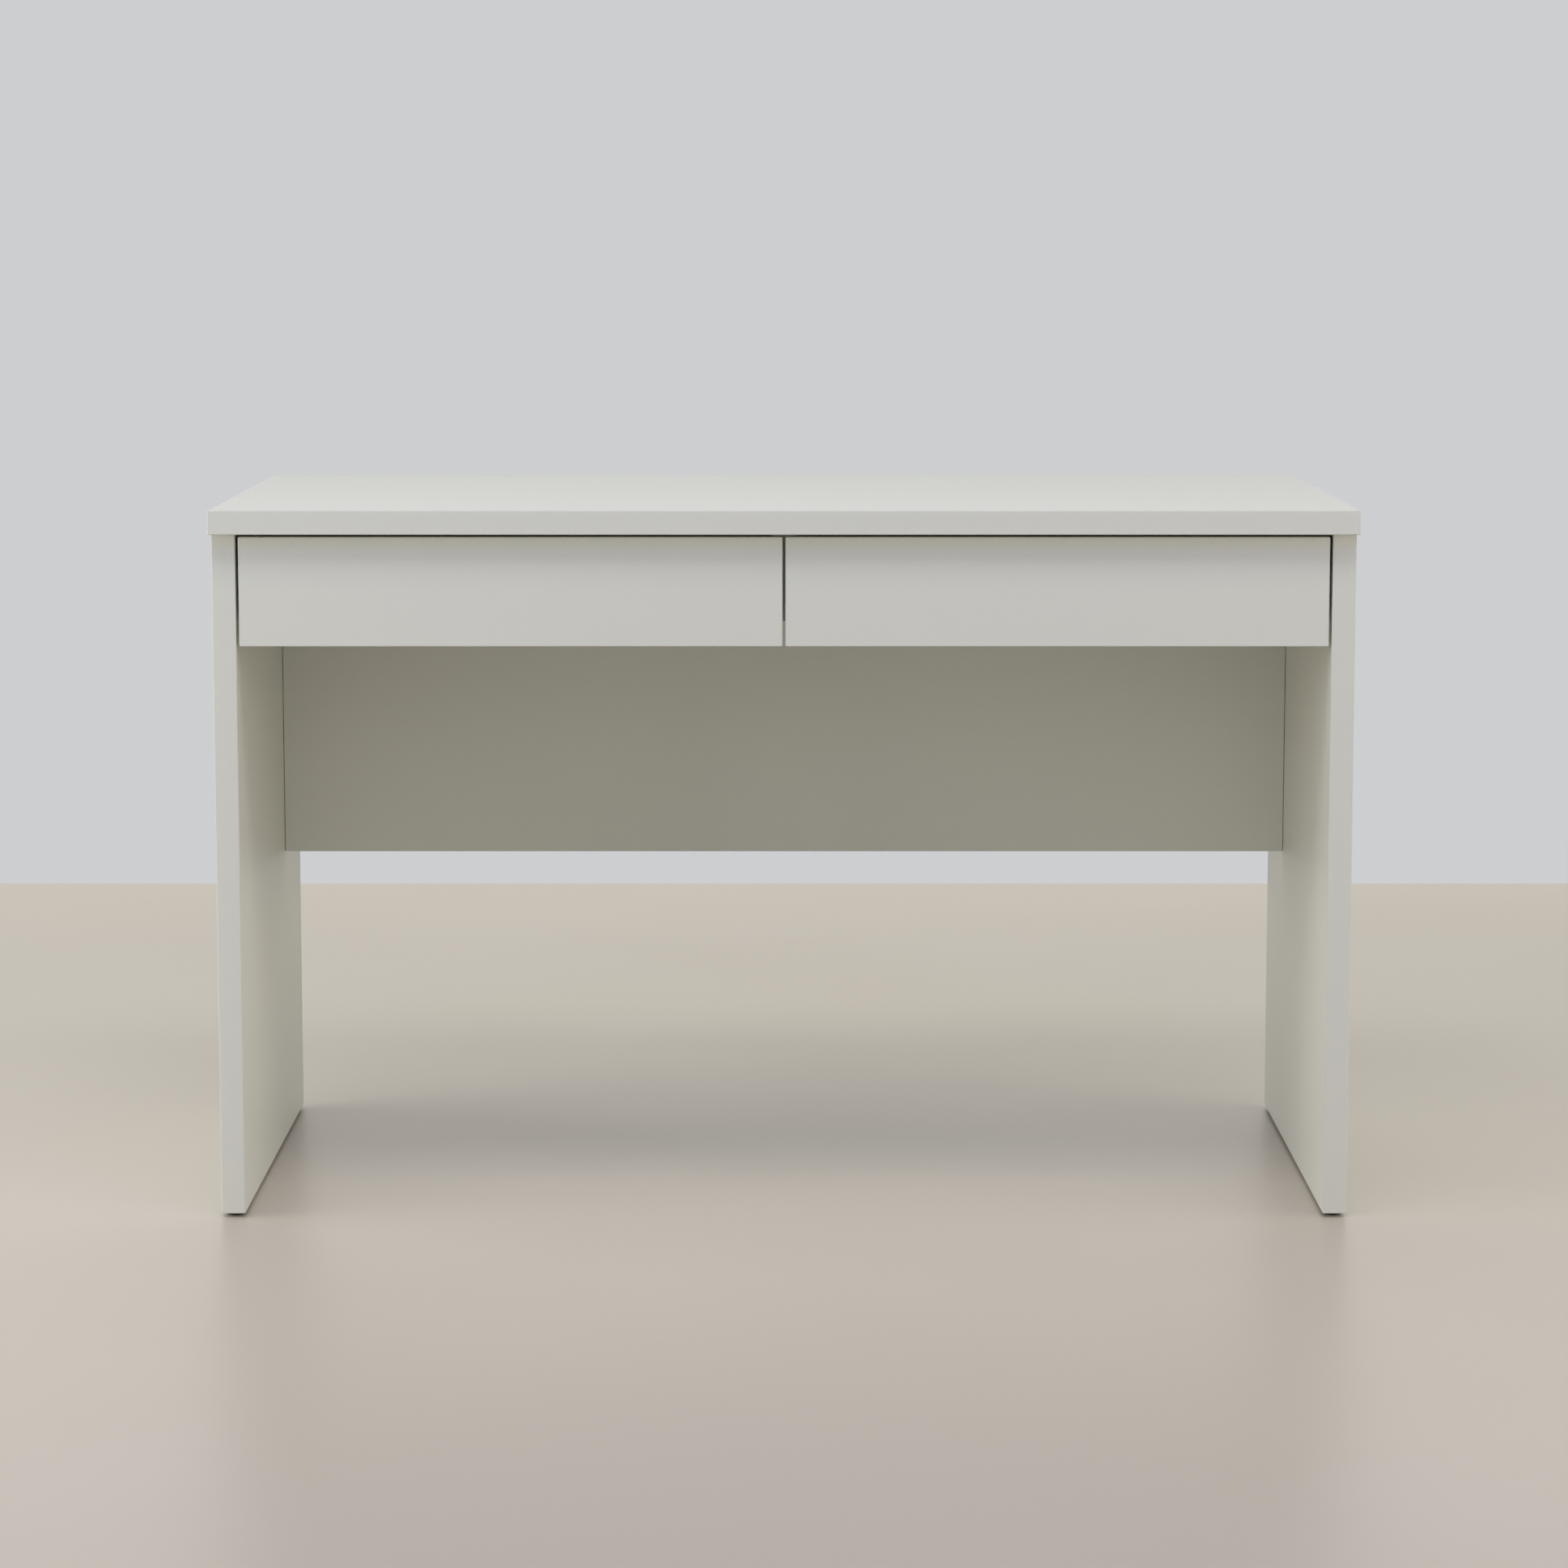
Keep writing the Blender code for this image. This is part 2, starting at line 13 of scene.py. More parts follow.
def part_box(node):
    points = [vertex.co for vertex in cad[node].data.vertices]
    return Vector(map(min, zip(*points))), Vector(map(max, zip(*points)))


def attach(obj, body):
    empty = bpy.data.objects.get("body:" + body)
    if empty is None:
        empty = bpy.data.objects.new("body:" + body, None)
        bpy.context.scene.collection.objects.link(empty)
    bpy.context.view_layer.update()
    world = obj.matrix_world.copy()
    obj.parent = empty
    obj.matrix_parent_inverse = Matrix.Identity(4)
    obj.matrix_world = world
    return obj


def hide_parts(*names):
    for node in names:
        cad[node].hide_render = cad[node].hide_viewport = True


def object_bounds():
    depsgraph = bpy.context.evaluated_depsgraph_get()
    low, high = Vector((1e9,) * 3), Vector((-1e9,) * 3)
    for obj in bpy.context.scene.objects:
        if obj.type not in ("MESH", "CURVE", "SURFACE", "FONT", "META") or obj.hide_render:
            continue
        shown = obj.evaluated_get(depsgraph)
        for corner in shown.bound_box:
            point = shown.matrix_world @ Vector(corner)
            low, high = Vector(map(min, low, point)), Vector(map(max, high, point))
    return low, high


MM = 0.001
X = Vector((1, 0, 0))
Y = Vector((0, 1, 0))
Z = Vector((0, 0, 1))
TINY = 0.05 * MM  # keeps a laid-on piece from sharing a face with what it lies on
SHARP_ANGLE = 35  # degrees between faces

# Faced boards
BAND_THICKNESS = 1.0 * MM
BAND_SEAM_HALF = 0.09 * MM
FACING = 0.7 * MM
BOARD_GLOSS = (0.34, 0.42)  # roughness, from the smoothest to the roughest spots

# Small parts
BRACKET_GAUGE = 1.5 * MM
LEVER_BEND = 2.6 * MM
CAGE_GAUGE = 0.5 * MM
CAGE_BEND = 1.6 * MM  # radius
CAGE_BALLS = 10  # in each row
CAGE_OPENING = 34 * MM  # length of the two openings in a cage's web
CAGE_OPENING_AT = 28 * MM  # from the cage's middle to each opening's middle

# Colours, as linear RGB
MELAMINE = (0.722, 0.724, 0.658)
EDGE_BAND = (0.708, 0.710, 0.648)
BAND_SEAM = (0.300, 0.290, 0.240)
FOIL = (0.715, 0.708, 0.638)
CHIPBOARD = (0.330, 0.225, 0.125)
HARDBOARD_BROWN = (0.185, 0.105, 0.052)
LACQUER = (0.700, 0.692, 0.620)
ZINC = (0.600, 0.610, 0.630)
CAGE_STEEL = (0.420, 0.420, 0.430)
BALL_STEEL = (0.780, 0.780, 0.790)
CAST_ZINC = (0.520, 0.530, 0.550)
DARK_PLASTIC = (0.022, 0.020, 0.018)
CAP_PLASTIC = (0.705, 0.700, 0.625)
POWDER = (0.690, 0.682, 0.612)
FLOOR = (0.505, 0.448, 0.382)
BACKGROUND = (0.610, 0.618, 0.628)
SKY = (0.244, 0.264, 0.290)

# Camera, matched to the desk's perspective
CAMERA_DISTANCE = 4.632  # in front of the desktop's front edge
CAMERA_HEIGHT = 1.0734
CAMERA_PITCH = 0.130  # radians below level
CAMERA_LENS = 102.4  # mm
CAMERA_SENSOR = 36.0  # mm

FLOOR_REACH = 2.06  # from the desk's middle to each edge of the floor


# ---------------------------------------------------------------- node helpers


class Nodes:
    """A material's node tree, with short calls to add nodes and join them."""

    def __init__(self, name):
        self.material = bpy.data.materials.new(name)
        self.material.use_nodes = True
        self.tree = self.material.node_tree
        self.shader = self.tree.nodes["Principled BSDF"]
        self.place = self.tree.nodes.new("ShaderNodeTexCoord").outputs["Object"]

    def add(self, kind, output, settings, inputs):
        made = self.tree.nodes.new("ShaderNode" + kind)
        for key, value in settings.items():
            setattr(made, key, value)
        for key, value in inputs.items():
            self.set(made.inputs[key], value)
        return made.outputs[output]

    def set(self, socket, value):
        if isinstance(value, bpy.types.NodeSocket):
            self.tree.links.new(value, socket)
        else:
            socket.default_value = value

    def math(self, operation, a, b=0.0, c=0.0):
        return self.add("Math", 0, {"operation": operation}, {0: a, 1: b, 2: c})

    def axis(self, letter):
        return self.add("SeparateXYZ", letter, {}, {0: self.place})

    def stretched(self, scale):
        return self.add("VectorMath", 0, {"operation": "MULTIPLY"}, {0: self.place, 1: scale})

    def noise(self, scale, detail=2.0, roughness=0.5, at=None):
        inputs = {"Vector": at or self.place, "Scale": scale, "Detail": detail, "Roughness": roughness}
        return self.add("TexNoise", "Fac", {}, inputs)

    def voronoi(self, scale, feature="F1", at=None):
        inputs = {"Vector": at or self.place, "Scale": scale}
        return self.add("TexVoronoi", "Distance", {"feature": feature}, inputs)

    def between(self, value, low, high, to_low=0.0, to_high=1.0):
        """value from low..high to to_low..to_high, held at the ends."""
        inputs = {"Value": value, "From Min": low, "From Max": high, "To Min": to_low, "To Max": to_high}
        return self.add("MapRange", 0, {"interpolation_type": "SMOOTHSTEP"}, inputs)

    def mix(self, factor, a, b):
        """From a to b, each a colour or a socket, as factor goes from 0 to 1."""
        made = self.tree.nodes.new("ShaderNodeMix")
        made.data_type = "RGBA"
        for index, value in ((0, factor), (6, a), (7, b)):  # the colour sockets of this node
            self.set(made.inputs[index], (*value, 1.0) if isinstance(value, tuple) else value)
        return made.outputs[2]

    def varied(self, colour, amount, factor):
        """colour, darker and lighter by amount as factor goes from 0 to 1."""
        dark = tuple(c * (1 - amount) for c in colour)
        light = tuple(c * (1 + amount) for c in colour)
        return self.mix(factor, dark, light)

    def bump(self, height, distance, strength=1.0):
        inputs = {"Height": height, "Distance": distance, "Strength": strength}
        self.set(self.shader.inputs["Normal"], self.add("Bump", 0, {}, inputs))

    def finish(self, colour, roughness, metallic=0.0, specular=0.5):
        self.set(self.shader.inputs["Base Color"], colour)
        self.set(self.shader.inputs["Roughness"], roughness)
        self.shader.inputs["Metallic"].default_value = metallic
        self.shader.inputs["Specular IOR Level"].default_value = specular
        return self.material


# ---------------------------------------------------------------- materials


def board_finish(name, low, high, bands, colour, texture=1.0):
    """A faced board: satin colour with a fine pearl texture, edge bands on the sides named in bands.

    bands lists sides such as "+X"; a seam shows where each band meets the face. Where a hole or a
    groove goes below the facing, the chipboard core shows."""
    n = Nodes(name)
    from_side = {}
    for index, letter in enumerate("XYZ"):
        along = n.axis(letter)
        from_side["-" + letter] = n.math("SUBTRACT", along, low[index])
        from_side["+" + letter] = n.math("SUBTRACT", high[index], along)

    def nearest(distances):
        closest = distances[0]
        for distance in distances[1:]:
            closest = n.math("MINIMUM", closest, distance)
        return closest

    cloud = n.noise(2.3, 3.0)
    pearl = n.noise(1500.0, 3.0, 0.6)
    face = n.varied(colour, 0.012, cloud)
    face = n.mix(n.between(pearl, 0.35, 0.75, 0.0, 0.05), face, tuple(c * 0.80 for c in colour))
    if bands:
        to_band = nearest([from_side[side] for side in bands])
        in_band = n.between(to_band, BAND_THICKNESS - TINY, BAND_THICKNESS + TINY, 1.0, 0.0)
        face = n.mix(in_band, face, n.varied(EDGE_BAND, 0.010, n.noise(40.0)))
        off_seam = n.math("ABSOLUTE", n.math("SUBTRACT", to_band, BAND_THICKNESS))
        seam = n.between(off_seam, 0.3 * BAND_SEAM_HALF, BAND_SEAM_HALF, 0.45, 0.0)
        face = n.mix(seam, face, BAND_SEAM)
    depth = nearest(list(from_side.values()))
    core = n.between(depth, FACING, FACING + 2 * TINY)
    chips = n.between(n.voronoi(700.0, at=n.stretched((1.0, 1.0, 2.2))), 0.1, 0.7)
    face = n.mix(core, face, n.varied(CHIPBOARD, 0.35, chips))
    n.bump(n.math("MULTIPLY_ADD", pearl, texture, n.math("MULTIPLY", cloud, 0.4)), 0.02 * MM, 0.35)
    return n.finish(face, n.between(pearl, 0.3, 0.7, *BOARD_GLOSS), specular=0.42)


def hardboard_finish():
    """White lacquer on both faces, with the press screen's imprint below, and brown edges."""
    n = Nodes("hardboard_with_white_faces")
    normal = n.add("TexCoord", "Normal", {}, {})
    up = n.add("SeparateXYZ", "Z", {}, {0: normal})
    above = n.between(up, 0.4, 0.6)
    lacquered = n.between(n.math("ABSOLUTE", up), 0.4, 0.6)
    white = n.varied(LACQUER, 0.02, n.noise(6.0, 4.0))
    streaks = n.between(n.noise(260.0, 4.0, at=n.stretched((1.0, 0.25, 1.0))), 0.45, 0.8, 0.0, 0.10)
    white = n.mix(streaks, white, tuple(c * 0.80 for c in LACQUER))
    fibre = n.varied(HARDBOARD_BROWN, 0.30, n.noise(420.0, 5.0, 0.7, at=n.stretched((1.0, 0.3, 1.0))))
    screen = n.mix(above, n.voronoi(620.0), (0.5, 0.5, 0.5))
    n.bump(screen, 0.10 * MM, 0.35)
    return n.finish(n.mix(lacquered, fibre, white), n.between(up, 0.4, 0.6, 0.60, 0.46), specular=0.4)


def steel_finish(name, colour, roughness, grain):
    """Rolled and zinc-plated strip: fine lines along Y, faint crystal patches and dull spots."""
    n = Nodes(name)
    lines = n.noise(1.0, 4.0, 0.65, at=n.stretched((2600.0, 9.0, 2600.0)))
    patches = n.voronoi(230.0)
    dull = n.noise(35.0, 4.0, 0.6)
    tone = n.varied(colour, 0.09, n.between(lines, 0.3, 0.7))
    tone = n.mix(n.between(patches, 0.2, 0.9, 0.0, 0.22), tone, tuple(c * 0.78 for c in colour))
    rough = n.math("ADD", n.between(dull, 0.35, 0.7, roughness - 0.05, roughness + 0.08),
                   n.between(lines, 0.3, 0.7, -0.03, 0.03))
    n.bump(lines, 0.01 * MM, grain)
    return n.finish(tone, rough, metallic=1.0)


def cast_finish():
    """Die-cast zinc: a grainy skin, darker in the hollows, scuffed bright on the high parts."""
    n = Nodes("die_cast_zinc_skin")
    grain = n.noise(1900.0, 4.0, 0.65)
    scuffs = n.noise(180.0, 5.0, 0.7)
    tone = n.varied(CAST_ZINC, 0.14, n.between(grain, 0.35, 0.65))
    tone = n.mix(n.between(scuffs, 0.55, 0.75, 0.0, 0.5), tone, (0.68, 0.69, 0.71))
    n.bump(grain, 0.03 * MM, 0.5)
    return n.finish(tone, n.between(scuffs, 0.4, 0.75, 0.46, 0.30), metallic=1.0)


def ball_finish():
    """Polished ball steel under a thin uneven film of grease."""
    n = Nodes("polished_ball_steel")
    film = n.noise(520.0, 3.0, 0.6)
    return n.finish(n.varied(BALL_STEEL, 0.05, film), n.between(film, 0.3, 0.7, 0.08, 0.24), metallic=1.0)


def powder_finish():
    """Powder coat in the desk's white: soft orange peel."""
    n = Nodes("white_powder_coat")
    peel = n.noise(620.0, 2.0)
    n.bump(peel, 0.05 * MM, 0.4)
    return n.finish(n.varied(POWDER, 0.02, n.noise(20.0, 3.0)),
                    n.between(peel, 0.3, 0.7, 0.38, 0.50))


def plastic_finish(name, colour, roughness, grain=0.4):
    """Moulded plastic: spark-eroded grain and slow changes in gloss."""
    n = Nodes(name)
    spark = n.noise(2400.0, 3.0, 0.6)
    slow = n.noise(70.0, 3.0)
    n.bump(spark, 0.02 * MM, grain)
    tone = n.varied(colour, 0.07, slow)
    return n.finish(tone, n.between(slow, 0.3, 0.7, roughness - 0.05, roughness + 0.06), specular=0.45)


def floor_finish():
    """A pale floor with a soft sheen."""
    n = Nodes("pale_floor")
    slow = n.noise(1.3, 3.0)
    return n.finish(n.varied(FLOOR, 0.012, slow), n.between(slow, 0.3, 0.7, 0.33, 0.37), specular=0.5)


# ---------------------------------------------------------------- mesh helpers


def new_object(name, bm, material, smooth_below=None):
    """Turns a bmesh into an object with one material, smooth where faces meet at less than an angle."""
    bmesh.ops.recalc_face_normals(bm, faces=bm.faces)
    mesh = bpy.data.meshes.new(name)
    bm.to_mesh(mesh)
    bm.free()
    mesh.materials.append(material)
    if smooth_below:
        mesh.shade_smooth()
        mesh.set_sharp_from_angle(angle=math.radians(smooth_below))
    obj = bpy.data.objects.new(name, mesh)
    bpy.context.scene.collection.objects.link(obj)
    return obj


def axis_matrix(centre, direction):
    """Places a shape made along +Z at centre, pointing along direction."""
    turn = Vector(direction).to_track_quat("Z", "Y").to_matrix().to_4x4()
    return Matrix.Translation(centre) @ turn


def turned_bmesh(profile, steps):
    """A solid of revolution about Z. profile lists (radius, height) from top centre to bottom centre."""
    bm = bmesh.new()
    points = [bm.verts.new((radius, 0, height)) for radius, height in profile]
    edges = [bm.edges.new(pair) for pair in zip(points, points[1:])]
    bmesh.ops.spin(bm, geom=points + edges, axis=Z, cent=(0, 0, 0), angle=2 * math.pi, steps=steps,
                   use_merge=True)
    bmesh.ops.remove_doubles(bm, verts=bm.verts, dist=1e-6)
    return bm


def subtract(obj, tools):
    """Cuts bmesh tools out of obj and keeps the result as its mesh."""
    for tool_bm in tools:
        tool = new_object("tool", tool_bm, obj.data.materials[0])
        cut = obj.modifiers.new("cut", "BOOLEAN")
        cut.operation = "DIFFERENCE"
        cut.object = tool
        bpy.context.view_layer.update()
        evaluated = obj.evaluated_get(bpy.context.evaluated_depsgraph_get())
        mesh = bpy.data.meshes.new_from_object(evaluated)
        obj.modifiers.clear()
        obj.data = mesh
        bpy.data.objects.remove(tool)
    obj.data.shade_smooth()
    obj.data.set_sharp_from_angle(angle=math.radians(SHARP_ANGLE))
    return obj


def block_bmesh(size, centre):
    """A box of this size about centre."""
    bm = bmesh.new()
    bmesh.ops.create_cube(bm, size=1.0)
    bmesh.ops.scale(bm, vec=Vector(size), verts=bm.verts)
    bmesh.ops.translate(bm, vec=Vector(centre), verts=bm.verts)
    return bm


def arc(centre, radius, start, end, steps):
    """Points (x, z) along an arc, angles in degrees."""
    turns = [math.radians(start + (end - start) * step / steps) for step in range(steps + 1)]
    return [(centre[0] + radius * math.cos(a), centre[1] + radius * math.sin(a)) for a in turns]


# ---------------------------------------------------------------- the frame

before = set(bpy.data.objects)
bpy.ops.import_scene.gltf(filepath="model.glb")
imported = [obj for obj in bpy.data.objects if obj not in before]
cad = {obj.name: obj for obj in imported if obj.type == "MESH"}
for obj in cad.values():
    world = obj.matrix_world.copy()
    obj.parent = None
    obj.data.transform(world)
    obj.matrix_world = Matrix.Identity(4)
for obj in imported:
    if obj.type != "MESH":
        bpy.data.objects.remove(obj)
cad_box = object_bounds()
finishes = {
    "steel": steel_finish("zinc_plated_strip", ZINC, 0.30, 0.5),
    "cage": steel_finish("ball_cage_strip", CAGE_STEEL, 0.36, 0.4),
    "balls": ball_finish(),
    "cast": cast_finish(),
    "powder": powder_finish(),
    "dark": plastic_finish("dark_glide_plastic", DARK_PLASTIC, 0.48),
    "cap": plastic_finish("white_cap_plastic", CAP_PLASTIC, 0.40, 0.2),
}
DRAWERS = ("left_drawer", "right_drawer")
SIDES = ("left", "right")


def sharp_by_angle(degrees):
    """A node group that shades smooth, apart from edges where two faces meet at more than an angle."""
    tree = bpy.data.node_groups.new("sharp_by_angle", "GeometryNodeTree")
    tree.interface.new_socket("Geometry", in_out="INPUT", socket_type="NodeSocketGeometry")
    tree.interface.new_socket("Geometry", in_out="OUTPUT", socket_type="NodeSocketGeometry")
    angle = tree.nodes.new("GeometryNodeInputMeshEdgeAngle")
    steep = tree.nodes.new("FunctionNodeCompare")
    steep.operation = "GREATER_THAN"
    steep.inputs["B"].default_value = math.radians(degrees)
    faces, edges = (tree.nodes.new("GeometryNodeSetShadeSmooth") for _ in range(2))
    edges.domain = "EDGE"
    edges.inputs["Shade Smooth"].default_value = False
    source, result = tree.nodes.new("NodeGroupInput"), tree.nodes.new("NodeGroupOutput")
    tree.links.new(source.outputs[0], faces.inputs["Geometry"])
    tree.links.new(faces.outputs[0], edges.inputs["Geometry"])
    tree.links.new(angle.outputs["Unsigned Angle"], steep.inputs["A"])
    tree.links.new(steep.outputs[0], edges.inputs["Selection"])
    tree.links.new(edges.outputs[0], result.inputs[0])
    return tree


def tidy_shading(obj, sharp_edges):
    """Welds the imported corners and shades smooth up to sharp edges, with normals led by large faces."""
    if obj.data.has_custom_normals:
        with bpy.context.temp_override(object=obj, active_object=obj):
            bpy.ops.mesh.customdata_custom_splitnormals_clear()
    weld = obj.modifiers.new("weld", "WELD")
    weld.merge_threshold = 0.01 * MM
    obj.modifiers.new("sharp_edges", "NODES").node_group = sharp_edges
    smooth = obj.modifiers.new("edge_normals", "WEIGHTED_NORMAL")
    smooth.keep_sharp = True
    smooth.weight = 100


def dress(node, material):
    """Gives a CAD node one material in place of its own."""
    materials = cad[node].data.materials
    materials.clear()
    materials.append(material)


def dress_cad():
    """Every CAD node's own finish."""
    bands = {
        "desktop": ("-X", "+X", "-Y", "+Y"),
        "side_panel_left": ("-Y", "+Y", "-Z"),
        "side_panel_right": ("-Y", "+Y", "-Z"),
        "modesty_panel": ("-Z",),
        "centre_divider": ("-Y", "-Z"),
        "left_drawer_front": ("-X", "+X", "-Z", "+Z"),
        "right_drawer_front": ("-X", "+X", "-Z", "+Z"),
    }
    for node, sides in bands.items():
        dress(node, board_finish("melamine_" + node, *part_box(node), sides, MELAMINE))
    for drawer in DRAWERS:
        for board in ("left_side", "right_side", "back"):
            node = f"{drawer}_{board}"
            dress(node, board_finish("foil_" + node, *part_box(node), (), FOIL, 0.6))
    hardboard = hardboard_finish()
    for node in cad:
        if node.endswith("_drawer_bottom"):
            dress(node, hardboard)
        elif node.endswith("_rail"):
            dress(node, finishes["steel"])
        elif node.endswith("_cage"):
            dress(node, finishes["cage"])
        elif node.endswith(("_cam", "_bolt")) or node.startswith("divider_screw"):
            dress(node, finishes["cast"])
        elif node.startswith("divider_bracket"):
            dress(node, finishes["powder"])
        elif node.startswith("glide"):
            dress(node, finishes["dark"])


# ---------------------------------------------------------------- drawer slides


class Slide:
    """Where one ball slide lies. Its own x runs from the fixed face to the drawer, its y to the back."""

    clearance = 0.3 * MM  # between the cabinet rail and the face that it is screwed to
    race_x = 7.2 * MM  # the balls' middle
    screw_y = (0.0875, 0.5, 0.9125)  # of the rail's length

    def __init__(self, drawer, side):
        self.drawer = drawer
        self.name = f"{drawer}_{side}_slide"
        fixed_low, fixed_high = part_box(self.name + "_cabinet_rail")
        moving_low, moving_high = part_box(self.name + "_drawer_rail")
        self.towards = 1 if moving_low.x + moving_high.x > fixed_low.x + fixed_high.x else -1
        fixed_x = fixed_low.x if self.towards > 0 else fixed_high.x
        self.origin = Vector((fixed_x - self.towards * self.clearance, fixed_low.y,
                              (fixed_low.z + fixed_high.z) / 2))
        self.length = fixed_high.y - fixed_low.y

    def point(self, x, y, z=0.0):
        """A place in the slide's own directions, in the model's frame."""
        return self.origin + Vector((self.towards * x, y, z))


def make_cage(slide, layer, web_x, lip_x, half_height, ball_radius):
    """A pressed strip cage with a window for each ball, and the balls in it."""
    node = f"{slide.name}_{layer}_ball_cage"
    low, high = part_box(node)
    heel = arc((web_x + CAGE_BEND, half_height - CAGE_BEND), CAGE_BEND, 180, 90, 5)
    upper = [*heel, (lip_x, half_height)]
    path = [(x, -z) for x, z in reversed(upper)] + upper
    bm = bmesh.new()
    row = [bm.verts.new(slide.point(x, low.y - slide.origin.y, z)) for x, z in path]
    edges = [bm.edges.new(pair) for pair in zip(row, row[1:])]
    drawn = bmesh.ops.extrude_edge_only(bm, edges=edges)["geom"]
    moved = [g for g in drawn if isinstance(g, bmesh.types.BMVert)]
    bmesh.ops.translate(bm, vec=Y * (high.y - low.y), verts=moved)
    cage = new_object(f"{node}_pressed", bm, finishes["cage"])
    solid = cage.modifiers.new("gauge", "SOLIDIFY")
    solid.thickness = CAGE_GAUGE
    solid.offset = 0.0
    solid.use_even_offset = True

    pitch = (high.y - low.y) / (CAGE_BALLS + 1)
    rows = [low.y - slide.origin.y + pitch * (number + 1) for number in range(CAGE_BALLS)]
    windows = bmesh.new()
    for y in rows:
        bmesh.ops.create_cone(windows, cap_ends=True, segments=24, radius1=ball_radius + TINY,
                              radius2=ball_radius + TINY, depth=3 * half_height,
                              matrix=Matrix.Translation(slide.point(slide.race_x, y)))
    openings = bmesh.new()
    opening_size = (2 * CAGE_BEND, CAGE_OPENING, half_height, 1.0)
    for side in (-1, 1):
        y = (low.y + high.y) / 2 - slide.origin.y + side * CAGE_OPENING_AT
        placing = Matrix.Translation(slide.point(web_x, y)) @ Matrix.Diagonal(opening_size)
        bmesh.ops.create_cube(openings, size=1.0, matrix=placing)
    subtract(cage, [windows, openings])
    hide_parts(node)

    balls = bmesh.new()
    for y in rows:
        for side in (-1, 1):
            centre = slide.point(slide.race_x, y, side * half_height)
            bmesh.ops.create_uvsphere(balls, u_segments=16, v_segments=10, radius=ball_radius,
                                      matrix=Matrix.Translation(centre))
    ball_set = new_object(f"{slide.name}_{layer}_balls", balls, finishes["balls"], 180)
    for piece in (cage, ball_set):
        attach(piece, node)


def screw_head(name, radius, height, shank):
    """A recessed-cross screw head about Z, sitting on z = 0 with a short shank below."""
    dome = [(radius * math.sin(a), height * math.cos(a) ** 0.8) for a in (0, 0.35, 0.7, 1.0, 1.25)]
    bm = turned_bmesh([*dome, (radius, height * 0.15), (radius, 0), (shank, 0), (shank, -MM), (0, -MM)], 32)
    head = new_object(name, bm, finishes["cast"])
    reach, blade, depth = radius * 1.15, radius * 0.26, height * 0.65
    tools = [block_bmesh((a, b, 2 * depth), (0, 0, height)) for a, b in ((reach, blade), (blade, reach))]
    return subtract(head, tools)


def place_copy(name, model, centre, direction, body, turn=0.0):
    """Another object with model's mesh, its foot at centre and its top pointing along direction."""
    obj = bpy.data.objects.new(name, model.data)
    bpy.context.scene.collection.objects.link(obj)
    obj.matrix_world = axis_matrix(centre, direction) @ Matrix.Rotation(turn, 4, "Z")
    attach(obj, body)
    return obj


def make_release_lever(slide):
    """The black lever in the drawer rail that frees the drawer: a boss, a sprung arm and a thumb tab."""
    base_x, thickness, length = 8.4 * MM, 2.2 * MM, 62 * MM
    start = slide.length * 0.60
    boss_radius, arm, tab = 5.2 * MM, 1.5 * MM, 4.6 * MM  # half widths
    steps = 42

    def half_width(u):
        """Half the lever's width at a share u of its length."""
        boss = max(0.0, 1 - (u / 0.13) ** 2) ** 0.5 * boss_radius
        thumb = arm + (tab - arm) * max(0.0, 1 - ((u - 0.93) / 0.16) ** 2)
        return max(boss, thumb, arm if u < 0.97 else 0.0)

    bm = bmesh.new()
    upper, lower = [], []
    for step in range(steps + 1):
        u = step / steps
        drop = LEVER_BEND * math.sin(math.pi * u) ** 2
        upper.append(bm.verts.new(slide.point(base_x, start + u * length, half_width(u) - drop)))
        lower.append(bm.verts.new(slide.point(base_x, start + u * length, -half_width(u) - drop)))
    face = bm.faces.new(upper + lower[::-1])
    raised = bmesh.ops.extrude_face_region(bm, geom=[face])["geom"]
    moved = [g for g in raised if isinstance(g, bmesh.types.BMVert)]
    bmesh.ops.translate(bm, vec=X * slide.towards * thickness, verts=moved)
    lever = new_object(f"{slide.name}_release_lever", bm, finishes["dark"], 40)
    edge = lever.modifiers.new("moulded_edge", "BEVEL")
    edge.width = 0.4 * MM
    edge.segments = 2
    edge.limit_method = "ANGLE"
    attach(lever, slide.drawer)


def make_slides(pan_head, flat_head):
    """The ball cages, release levers and screws of the four slides."""
    cages = {  # web x, lip x, half height, ball radius
        "outer": (1.95 * MM, 9.6 * MM, 19.5 * MM, 2.1 * MM),
        "inner": (4.2 * MM, 9.4 * MM, 14.6 * MM, 1.5 * MM),
    }
    cabinet_face, drawer_face = 1.5 * MM, 11.2 * MM  # the rails' faces that the screw heads lie on
    for drawer in DRAWERS:
        for side in SIDES:
            slide = Slide(drawer, side)
            for layer, sizes in cages.items():
                make_cage(slide, layer, *sizes)
            make_release_lever(slide)
            out = X * slide.towards
            for number, share in enumerate(slide.screw_y, 1):
                y = share * slide.length
                turn = 0.7 * number  # so the crosses don't all point the same way
                place_copy(f"{slide.name}_cabinet_screw_{number}", flat_head,
                           slide.point(cabinet_face + TINY, y), out, "root", turn)
                place_copy(f"{slide.name}_drawer_screw_{number}", pan_head,
                           slide.point(drawer_face - TINY, y), -out, drawer, turn)


# ---------------------------------------------------------------- small fittings


